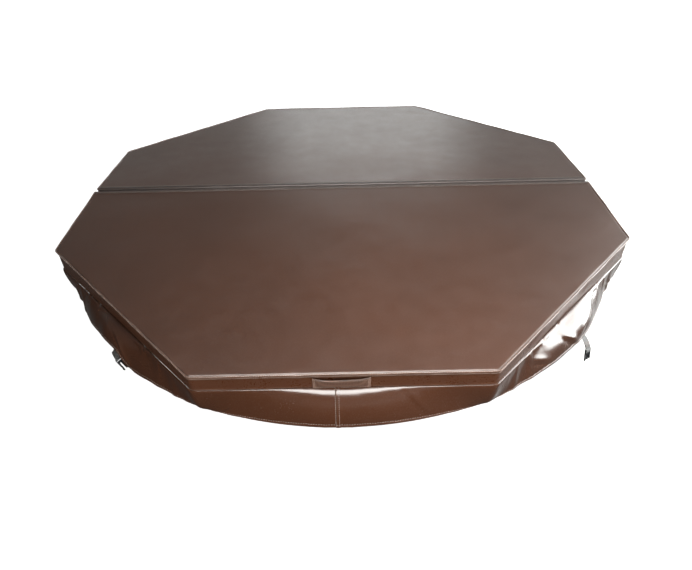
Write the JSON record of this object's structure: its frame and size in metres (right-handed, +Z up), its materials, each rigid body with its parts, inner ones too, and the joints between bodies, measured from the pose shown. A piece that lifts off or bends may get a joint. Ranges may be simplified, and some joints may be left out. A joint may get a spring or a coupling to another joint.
{
  "type": "spa cover",
  "caption": "Octagonal bifold spa cover: tapered foam cores in a zipped vinyl jacket with a skirt, hinged across the middle, with carry handles and tie-down straps.",
  "frame": {"origin": "centre of the underside, in the plane of the tub rim that the cover lies on", "axes": "X along the fold, -Y towards the front half with the lap seam and the facing handle, +Y towards the rear half, +Z up"},
  "size_m": [2.255, 2.2548, 0.3045],
  "materials": {
    "top_vinyl": "satin",
    "side_vinyl": "satin",
    "skirt_vinyl": "gloss",
    "welt_vinyl": "gloss",
    "handle_weave": "matte",
    "underside_fabric": "matte",
    "film": "gloss",
    "foam": "matte",
    "galvanised_steel": "satin",
    "zip_tape": "matte",
    "zip_metal": "satin",
    "webbing": "matte",
    "buckle_plastic": "satin",
    "brass_eyelet": "satin",
    "seal_pad": "matte"
  },
  "bodies": {
    "rear_half": {"rear_top_panel": "top_vinyl", "rear_side_band": "side_vinyl", "rear_underside_panel": "underside_fabric", "rear_fold_wall": "underside_fabric", "rear_vapour_wrap": "film", "rear_foam_core": "foam", "rear_steel_channel": "galvanised_steel", "rear_top_welt": "welt_vinyl", "rear_handle": "handle_weave", "rear_zipper": "zip_tape", "rear_skirt_left": "skirt_vinyl", "rear_drain_grommet_left": "brass_eyelet", "rear_strap_anchor_left": "webbing", "rear_skirt_right": "skirt_vinyl", "rear_drain_grommet_right": "brass_eyelet", "rear_strap_anchor_right": "webbing", "hinge_strip": "side_vinyl", "steam_seal": "seal_pad"},
    "front_half": {"front_top_panel": "top_vinyl", "front_side_band": "side_vinyl", "front_underside_panel": "underside_fabric", "front_fold_wall": "underside_fabric", "front_vapour_wrap": "film", "front_foam_core": "foam", "front_steel_channel": "galvanised_steel", "front_top_welt": "welt_vinyl", "front_handle": "handle_weave", "front_zipper": "zip_tape", "front_skirt_left": "skirt_vinyl", "front_drain_grommet_left": "brass_eyelet", "front_strap_anchor_left": "webbing", "front_skirt_right": "skirt_vinyl", "front_drain_grommet_right": "brass_eyelet", "front_strap_anchor_right": "webbing"},
    "front_zipper_slider": {"front_zipper_slider": "zip_metal"},
    "front_zipper_pull": {"front_zipper_pull": "zip_metal"},
    "front_strap_left": {"front_strap_left": "webbing"},
    "front_buckle_left": {"front_buckle_left": "buckle_plastic"},
    "front_strap_right": {"front_strap_right": "webbing"},
    "front_buckle_right": {"front_buckle_right": "buckle_plastic"},
    "rear_zipper_slider": {"rear_zipper_slider": "zip_metal"},
    "rear_zipper_pull": {"rear_zipper_pull": "zip_metal"},
    "rear_strap_left": {"rear_strap_left": "webbing"},
    "rear_buckle_left": {"rear_buckle_left": "buckle_plastic"},
    "rear_strap_right": {"rear_strap_right": "webbing"},
    "rear_buckle_right": {"rear_buckle_right": "buckle_plastic"}
  },
  "joints": [
    {"name": "fold_hinge", "type": "hinge", "parent": "rear_half", "child": "front_half", "pos_m": [0, 0, 0.1056], "axis": [-1, 0, 0], "range_deg": [0, 180], "deforming": ["hinge_strip"]},
    {"name": "front_zip_travel", "type": "slide", "parent": "front_half", "child": "front_zipper_slider", "axis": [-1, 0, 0], "range_m": [0, 1.86]},
    {"name": "front_zip_pull_flip", "type": "hinge", "parent": "front_zipper_slider", "child": "front_zipper_pull", "pos_m": [0.93, -0.075, -0.0086], "axis": [0, 1, 0], "range_deg": [-80, 80]},
    {"name": "front_left_strap_swing", "type": "hinge", "parent": "front_half", "child": "front_strap_left", "pos_m": [-0.77139, -0.80721, -0.0616], "axis": [0.5, 0.866, 0], "range_deg": [-22, 74]},
    {"name": "front_left_buckle_turn", "type": "hinge", "parent": "front_strap_left", "child": "front_buckle_left", "pos_m": [-0.76731, -0.80956, -0.11539], "axis": [0.5, 0.866, 0], "range_deg": [-38, 82]},
    {"name": "front_right_strap_swing", "type": "hinge", "parent": "front_half", "child": "front_strap_right", "pos_m": [0.82686, -0.75767, -0.102], "axis": [-0.8192, -0.5736, 0], "range_deg": [-105, 28]},
    {"name": "front_right_buckle_turn", "type": "hinge", "parent": "front_strap_right", "child": "front_buckle_right", "pos_m": [0.84627, -0.7854, -0.14379], "axis": [-0.8192, -0.5736, 0], "range_deg": [-52, 68]},
    {"name": "rear_zip_travel", "type": "slide", "parent": "rear_half", "child": "rear_zipper_slider", "axis": [1, 0, 0], "range_m": [0, 1.86]},
    {"name": "rear_zip_pull_flip", "type": "hinge", "parent": "rear_zipper_slider", "child": "rear_zipper_pull", "pos_m": [-0.93, 0.075, -0.0086], "axis": [0, 1, 0], "range_deg": [-80, 80]},
    {"name": "rear_left_strap_swing", "type": "hinge", "parent": "rear_half", "child": "rear_strap_left", "pos_m": [-0.79302, 0.79302, -0.102], "axis": [0.7071, 0.7071, 0], "range_deg": [-49, 84]},
    {"name": "rear_left_buckle_turn", "type": "hinge", "parent": "rear_strap_left", "child": "rear_buckle_left", "pos_m": [-0.79843, 0.79843, -0.15642], "axis": [0.7071, 0.7071, 0], "range_deg": [-60, 60]},
    {"name": "rear_right_strap_swing", "type": "hinge", "parent": "rear_half", "child": "rear_strap_right", "pos_m": [0.79302, 0.79302, -0.102], "axis": [0.7071, -0.7071, 0], "range_deg": [-53, 80]},
    {"name": "rear_right_buckle_turn", "type": "hinge", "parent": "rear_strap_right", "child": "rear_buckle_right", "pos_m": [0.7937, 0.7937, -0.15685], "axis": [0.7071, -0.7071, 0], "range_deg": [-60, 60]}
  ]
}
